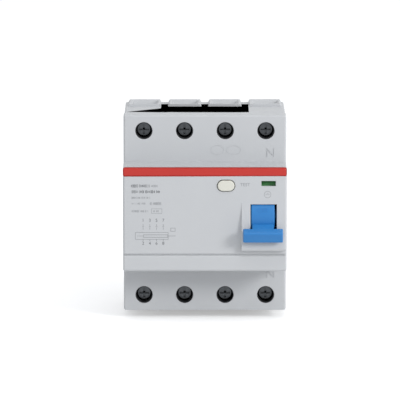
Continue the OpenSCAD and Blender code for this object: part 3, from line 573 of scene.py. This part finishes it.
def screw_tree():
    """A terminal screw along Y: a domed head with a cross recess, and a real thread."""
    tree, given = new_tree("terminal_screw", {
        "Head radius": "Float", "Head height": "Float", "Shank radius": "Float",
        "Shank length": "Float", "Thread pitch": "Float", "Recess width": "Float",
        "Recess depth": "Float", "Face": "Vector", "Material": "Material"})

    def maths(operation, a, b):
        return add_node(tree, "ShaderNodeMath", {0: a, 1: b}, operation=operation).outputs[0]

    def vector(**parts):
        return add_node(tree, "ShaderNodeCombineXYZ", parts).outputs[0]

    def moved(geometry, place):
        return add_node(tree, "GeometryNodeTransform",
                        {"Geometry": geometry, "Translation": place}).outputs[0]

    # the head: a straight side and a low cone on top, both along Z with the face at 0
    rim = maths("MULTIPLY", given["Head height"], 0.82)
    side = add_node(tree, "GeometryNodeMeshCylinder", {"Vertices": 40, "Depth": rim,
                    "Radius": given["Head radius"]}).outputs[0]
    side_place = maths("SUBTRACT", maths("MULTIPLY", rim, 0.5), given["Head height"])
    crown_height = maths("SUBTRACT", given["Head height"], rim)
    crown = add_node(tree, "GeometryNodeMeshCone", {
        "Vertices": 40, "Radius Bottom": given["Head radius"],
        "Radius Top": maths("MULTIPLY", given["Head radius"], 0.82),
        "Depth": crown_height}).outputs[0]
    crown_place = maths("MULTIPLY", crown_height, -1.0)
    head = add_node(tree, "GeometryNodeMeshBoolean", {"Mesh 2": [
        moved(side, vector(Z=side_place)), moved(crown, vector(Z=crown_place))]},
        operation="UNION").outputs[0]
    # the recess: two crossed bars
    across = maths("MULTIPLY", given["Head radius"], 1.3)
    deep = maths("MULTIPLY", given["Recess depth"], 2.0)
    bars = [add_node(tree, "GeometryNodeMeshCube", {"Size": vector(X=a, Y=b, Z=deep)}).outputs[0]
            for a, b in ((across, given["Recess width"]), (given["Recess width"], across))]
    head = add_node(tree, "GeometryNodeMeshBoolean", {"Mesh 1": head, "Mesh 2": bars},
                    operation="DIFFERENCE").outputs[0]
    # the shank: a core, and a ridge that winds round it
    root = maths("SUBTRACT", given["Shank radius"], maths("MULTIPLY", given["Thread pitch"], 0.5))
    core = add_node(tree, "GeometryNodeMeshCylinder", {"Vertices": 24, "Radius": root,
                    "Depth": given["Shank length"]}).outputs[0]
    core_place = maths("MULTIPLY", given["Shank length"], -0.5)
    core = moved(core, vector(Z=maths("SUBTRACT", core_place, given["Head height"])))
    run = maths("SUBTRACT", given["Shank length"], maths("MULTIPLY", given["Thread pitch"], 1.5))
    pitch_radius = maths("ADD", root, maths("MULTIPLY", given["Thread pitch"], 0.1))
    helix = add_node(tree, "GeometryNodeCurveSpiral", {
        "Resolution": 20, "Rotations": maths("DIVIDE", run, given["Thread pitch"]),
        "Start Radius": pitch_radius, "End Radius": pitch_radius, "Height": run}).outputs[0]
    ridge = add_node(tree, "GeometryNodeCurvePrimitiveCircle", {
        "Resolution": 4, "Radius": maths("MULTIPLY", given["Thread pitch"], 0.4)}).outputs[0]
    thread = add_node(tree, "GeometryNodeCurveToMesh",
                      {"Curve": helix, "Profile Curve": ridge, "Fill Caps": True}).outputs[0]
    below = maths("ADD", maths("ADD", run, given["Head height"]),
                  maths("MULTIPLY", given["Thread pitch"], 0.75))
    thread = moved(thread, vector(Z=maths("MULTIPLY", below, -1.0)))
    whole = add_node(tree, "GeometryNodeJoinGeometry", {0: [head, core, thread]}).outputs[0]
    # Z turns to face forward, -Y
    stood = add_node(tree, "GeometryNodeTransform", {
        "Geometry": whole, "Rotation": (math.radians(90), 0, 0),
        "Translation": given["Face"]}).outputs[0]
    close_tree(tree, stood, given["Material"])
    return tree


def coil_tree():
    """A coil spring along Z: a helix of round wire with capped ends."""
    tree, given = new_tree("coil_spring", {
        "Radius": "Float", "Wire": "Float", "Length": "Float", "Turns": "Float",
        "Start": "Vector", "Lean": "Vector", "Material": "Material"})
    helix = add_node(tree, "GeometryNodeCurveSpiral", {
        "Resolution": 16, "Rotations": given["Turns"], "Start Radius": given["Radius"],
        "End Radius": given["Radius"], "Height": given["Length"]}).outputs[0]
    wire = add_node(tree, "GeometryNodeCurvePrimitiveCircle",
                    {"Resolution": 8, "Radius": given["Wire"]}).outputs[0]
    coil = add_node(tree, "GeometryNodeCurveToMesh",
                    {"Curve": helix, "Profile Curve": wire, "Fill Caps": True}).outputs[0]
    stood = add_node(tree, "GeometryNodeTransform", {
        "Geometry": coil, "Rotation": given["Lean"], "Translation": given["Start"]}).outputs[0]
    close_tree(tree, stood, given["Material"])
    return tree


def row_tree():
    """Repeats the object's own mesh along a row."""
    tree, given = new_tree("row_of_copies", {
        "Geometry": "Geometry", "Count": "Int", "Pitch": "Vector", "Start": "Vector",
        "Material": "Material"})
    line = add_node(tree, "GeometryNodeMeshLine", {
        "Count": given["Count"], "Start Location": given["Start"],
        "Offset": given["Pitch"]}).outputs[0]
    copies = add_node(tree, "GeometryNodeInstanceOnPoints",
                      {"Points": line, "Instance": given["Geometry"]}).outputs[0]
    close_tree(tree, copies, given["Material"])
    return tree


def print_tree():
    """A line of small print: upright strokes of uneven width, with gaps as words have."""
    tree, given = new_tree("line_of_print", {
        "Count": "Int", "Pitch": "Float", "Height": "Float", "Stroke": "Float",
        "Thickness": "Float", "Start": "Vector", "Seed": "Int", "Material": "Material"})
    step = add_node(tree, "ShaderNodeCombineXYZ", {"X": given["Pitch"]}).outputs[0]
    line = add_node(tree, "GeometryNodeMeshLine", {
        "Count": given["Count"], "Start Location": given["Start"], "Offset": step}).outputs[0]
    gap = add_node(tree, "FunctionNodeRandomValue", {"Probability": 0.16, "Seed": given["Seed"]},
                   data_type="BOOLEAN").outputs[3]
    words = add_node(tree, "GeometryNodeDeleteGeometry", {0: line, 1: gap}).outputs[0]
    size = add_node(tree, "ShaderNodeCombineXYZ", {
        "X": given["Stroke"], "Y": given["Thickness"], "Z": given["Height"]}).outputs[0]
    stroke = add_node(tree, "GeometryNodeMeshCube", {"Size": size}).outputs[0]
    scale = add_node(tree, "FunctionNodeRandomValue", {
        0: (0.6, 1.0, 0.55), 1: (1.7, 1.0, 1.0), "Seed": given["Seed"]},
        data_type="FLOAT_VECTOR").outputs[0]
    strokes = add_node(tree, "GeometryNodeInstanceOnPoints",
                       {"Points": words, "Instance": stroke, "Scale": scale}).outputs[0]
    close_tree(tree, strokes, given["Material"])
    return tree


# ---------------------------------------------------------------- screws and springs

SCREWS = screw_tree()
COILS = coil_tree()
ROWS = row_tree()
PRINTS = print_tree()

SCREW_HEAD_H = 3.0 * MM
THREAD_PITCH = 0.8 * MM
for end in ENDS:
    for pole in POLES:
        node = f"{end}_screw_{pole}"
        low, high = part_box(node)
        middle = (low + high) / 2
        mesh = grown_mesh(SCREWS, {
            "Head radius": (high.x - low.x) / 2, "Head height": SCREW_HEAD_H,
            "Shank radius": 2.5 * MM, "Shank length": high.y - low.y - SCREW_HEAD_H,
            "Thread pitch": THREAD_PITCH, "Recess width": 0.95 * MM, "Recess depth": 1.7 * MM,
            "Face": (middle.x, low.y, middle.z), "Material": SCREW})
        add_piece(f"{end}_screw_steel_{pole}", mesh, node, None, [node])

# the toggle's return spring, wound round its pin
low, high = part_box("toggle_spring")
spring_r = (high.z - low.z) / 2
wire_r = 0.28 * MM
mesh = grown_mesh(COILS, {
    "Radius": spring_r - wire_r, "Wire": wire_r, "Length": high.x - low.x - 2 * wire_r,
    "Turns": 4.0, "Lean": (0, math.radians(90), 0), "Material": SPRING,
    "Start": (low.x + wire_r, (low.y + high.y) / 2, (low.z + high.z) / 2)})
add_piece("toggle_spring_wire", mesh, "toggle_spring", None, ["toggle_spring"])


# ---------------------------------------------------------------- painted shade liners in the driver holes

def tube_mesh(outer, inner, front, rear, steps=48):
    """A short tube along Y, open at both ends, with a small chamfer at its mouth."""
    chamfer = (outer - inner) * 0.6
    profile = [(inner + chamfer, front), (outer, front), (outer, rear), (inner, rear),
               (inner, front + chamfer)]
    bm = bmesh.new()
    rings = [[bm.verts.new((radius * math.cos(2 * math.pi * k / steps), y,
                            radius * math.sin(2 * math.pi * k / steps)))
              for k in range(steps)] for radius, y in profile]
    for a, b in zip(rings, rings[1:] + rings[:1]):
        for k in range(steps):
            n = (k + 1) % steps
            bm.faces.new((a[k], a[n], b[n], b[k]))
    bmesh.ops.recalc_face_normals(bm, faces=bm.faces)
    for face in bm.faces:
        face.smooth = True
    for edge in bm.edges:
        edge.smooth = edge.calc_face_angle(0) < EDGE_ANGLE
    mesh = bpy.data.meshes.new("tube")
    bm.to_mesh(mesh)
    bm.free()
    return mesh


first = (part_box("line_screw_1")[0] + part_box("line_screw_1")[1]) / 2
second = (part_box("line_screw_2")[0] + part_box("line_screw_2")[1]) / 2
LINER_OUT = 3.69 * MM
LINER_IN = 3.42 * MM
LINER_SET_BACK = 0.35 * MM
LINER_DEPTH = 7.5 * MM
# Near-black tubes just inside the driver holes: painted shade for the dark depth of the holes,
# not a real part
for end, height in (("line", first.z), ("load", -first.z)):
    tube = tube_mesh(LINER_OUT, LINER_IN, SHOULDER_Y + LINER_SET_BACK,
                     SHOULDER_Y + LINER_SET_BACK + LINER_DEPTH)
    mesh = grown_mesh(ROWS, {
        "Count": len(POLES), "Pitch": (second.x - first.x, 0, 0),
        "Start": (first.x, 0, height), "Material": PAINTED_SHADE_LINER}, tube)
    add_piece(f"{end}_painted_shade_liners", mesh, "front_cover", None)


# ---------------------------------------------------------------- panel prints

INK_T = 0.03 * MM
INK_Y = PANEL_Y - INK_T / 2


def bars_mesh(bars):
    """Flat inked bars, each (x0, x1, z0, z1), as closed slabs on the panel."""
    bm = bmesh.new()
    for x0, x1, z0, z1 in bars:
        slab = bmesh.ops.create_cube(bm, size=1.0)["verts"]
        bmesh.ops.scale(bm, verts=slab, vec=(x1 - x0, INK_T, z1 - z0))
        bmesh.ops.translate(bm, verts=slab, vec=((x0 + x1) / 2, INK_Y, (z0 + z1) / 2))
    mesh = bpy.data.meshes.new("bars")
    bm.to_mesh(mesh)
    bm.free()
    return mesh


def frame_bars(x0, x1, z0, z1, line):
    """The four bars of a drawn rectangle."""
    return [(x0, x1, z0, z0 + line), (x0, x1, z1 - line, z1),
            (x0, x0 + line, z0 + line, z1 - line), (x1 - line, x1, z0 + line, z1 - line)]


def joined(meshes):
    """One mesh from several, with their materials kept."""
    whole = bmesh.new()
    materials = []
    for mesh in meshes:
        start = len(whole.faces)
        whole.from_mesh(mesh)
        whole.faces.ensure_lookup_table()
        for face in whole.faces[start:]:
            own = mesh.materials[face.material_index] if mesh.materials else None
            if own not in materials:
                materials.append(own)
            face.material_index = materials.index(own)
    result = bpy.data.meshes.new("joined")
    whole.to_mesh(result)
    whole.free()
    for material in materials:
        result.materials.append(material)
    return result


def inked(mesh, material):
    mesh.materials.clear()
    mesh.materials.append(material)
    return mesh


# Small print at the upper left: (left, right, height of its middle, size, seed, ink)
PRINT_LINES = (
    (-31.4, -23.4, 14.5, 1.5, 3, DARK_INK), (-22.9, -19.6, 14.5, 1.2, 5, PALE_INK),
    (-31.2, -18.7, 12.0, 1.45, 8, DARK_INK), (-31.1, -23.1, 9.4, 1.0, 12, PALE_INK),
    (-31.1, -25.0, 6.9, 1.0, 14, PALE_INK), (-23.4, -18.5, 6.9, 1.3, 17, PALE_INK),
    (-31.1, -24.0, 3.6, 1.1, 21, PALE_INK), (-22.4, -18.9, 3.6, 1.0, 25, PALE_INK),
)
PRINT_PITCH = 0.42 * MM
lines = []
for left, right, height, size, seed, own_ink in PRINT_LINES:
    lines.append(grown_mesh(PRINTS, {
        "Count": round((right - left) * MM / PRINT_PITCH), "Pitch": PRINT_PITCH,
        "Height": size * MM, "Stroke": 0.2 * MM, "Thickness": INK_T, "Seed": seed,
        "Start": (left * MM, INK_Y, height * MM), "Material": own_ink}))
lines.append(inked(bars_mesh(frame_bars(-22.9 * MM, -18.3 * MM, 2.6 * MM, 4.7 * MM, 0.14 * MM)),
                   PALE_INK))
add_piece("printed_lines", joined(lines), "front_cover", None)

# A plain circuit sketch: four switches on one bar, the sensor's ring and its test arm
SKETCH_X = -26.4 * MM
SKETCH_PITCH = 2.87 * MM
SKETCH_LINE = 0.2 * MM
pole_sketch = bars_mesh([(-SKETCH_LINE / 2, SKETCH_LINE / 2, -4.4 * MM, -3.4 * MM),
                         (-SKETCH_LINE / 2, SKETCH_LINE / 2, -2.9 * MM, -2.0 * MM),
                         (-0.45 * MM, 0.45 * MM, -3.15 * MM, -3.0 * MM),
                         (-SKETCH_LINE / 2, SKETCH_LINE / 2, -9.3 * MM, -8.5 * MM)])
sketch = [grown_mesh(ROWS, {"Count": len(POLES), "Pitch": (SKETCH_PITCH, 0, 0),
                            "Start": (SKETCH_X, 0, 0), "Material": PALE_INK}, pole_sketch)]
sketch.append(inked(bars_mesh(
    frame_bars(-29.8 * MM, -15.6 * MM, -8.7 * MM, -5.5 * MM, 0.18 * MM)
    + frame_bars(-26.4 * MM, -15.7 * MM, -7.8 * MM, -6.5 * MM, 0.24 * MM)
    + frame_bars(-14.7 * MM, -12.6 * MM, -5.2 * MM, -3.6 * MM, 0.2 * MM)
    + [(-15.6 * MM, -12.5 * MM, -7.2 * MM, -7.0 * MM),
       (-29.0 * MM, -26.4 * MM, -7.2 * MM, -7.04 * MM)]), PALE_INK))
for row, height in (("1357", -0.4 * MM), ("2468", -10.3 * MM)):
    for place, digit in enumerate(row):
        number = words_mesh(digit, 1.35 * MM, INK_T)
        number.transform(Matrix.Translation(
            (SKETCH_X + place * SKETCH_PITCH, INK_Y, height)))
        sketch.append(inked(number, DARK_INK))
add_piece("printed_sketch", joined(sketch), "front_cover", None)

# Legends: the test button's letter beside it, and a small ring under the window
button_low, button_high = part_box("test_button")
legend = words_mesh("TEST", 1.35 * MM, INK_T)
legend.transform(Matrix.Translation((17.2 * MM, INK_Y, 15.0 * MM)))
sign = ring_mesh(1.5 * MM, 1.5 * MM, 0.16 * MM, INK_T)
sign.transform(Matrix.Translation((26.8 * MM, INK_Y, 10.8 * MM)))
sign_bars = bars_mesh([(25.9 * MM, 27.7 * MM, 10.7 * MM, 10.85 * MM),
                       (26.4 * MM, 27.2 * MM, 11.3 * MM, 11.45 * MM)])
add_piece("printed_legends", joined([inked(legend, PALE_INK), inked(sign, PALE_INK),
                                     inked(sign_bars, PALE_INK)]), "front_cover", None)


# ---------------------------------------------------------------- toggle's moulded legend

def wrapped_words(words, height, axis_y, axis_z, radius, angle, x, rise):
    """Raised characters laid round a barrel that lies along X."""
    mesh = words_mesh(words, height, rise * 2)
    for vertex in mesh.vertices:
        turn = angle + vertex.co.z / radius
        reach = radius - vertex.co.y
        vertex.co = Vector((x + vertex.co.x, axis_y - reach * math.cos(turn),
                            axis_z + reach * math.sin(turn)))
    return mesh


joint = next(j for j in frame["joints"] if j["name"] == "toggle_turn")
axis_x, axis_y, axis_z = joint["pos_m"]
toggle_low, toggle_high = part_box("toggle_lever")
BARREL_R = 9.9 * MM
BARREL_X = 24.8 * MM
legends = [wrapped_words("OFF", 1.9 * MM, axis_y, axis_z, BARREL_R, math.radians(19), BARREL_X,
                         0.14 * MM),
           wrapped_words("ON", 1.9 * MM, axis_y, axis_z, BARREL_R, math.radians(-60), BARREL_X,
                         0.14 * MM)]
add_piece("toggle_legend", joined([inked(mesh, TOGGLE) for mesh in legends]), "toggle_lever",
          None)


# ---------------------------------------------------------------- carried-over CAD nodes

# The flag shows green with the contacts open and red with them closed
FLAG_TURN_Z = 13.9 * MM
FLAG = banded("pad_printed_drum", "#b3261f", "#3f8a49", FLAG_TURN_Z, 0.4)
OWN_MATERIALS = {"indicator_flag": FLAG, "sensor_winding": WINDING, "load_cable_1": BRAID,
                 "load_cable_2": BRAID, "load_cable_3": BRAID, "load_cable_4": BRAID}
for name, node in NODES.items():
    material = OWN_MATERIALS.get(name) or SLOT_MATERIALS[SLOT_OF[name]]
    if not node.material_slots:
        node.data.materials.append(material)
    for slot in node.material_slots:
        slot.material = material
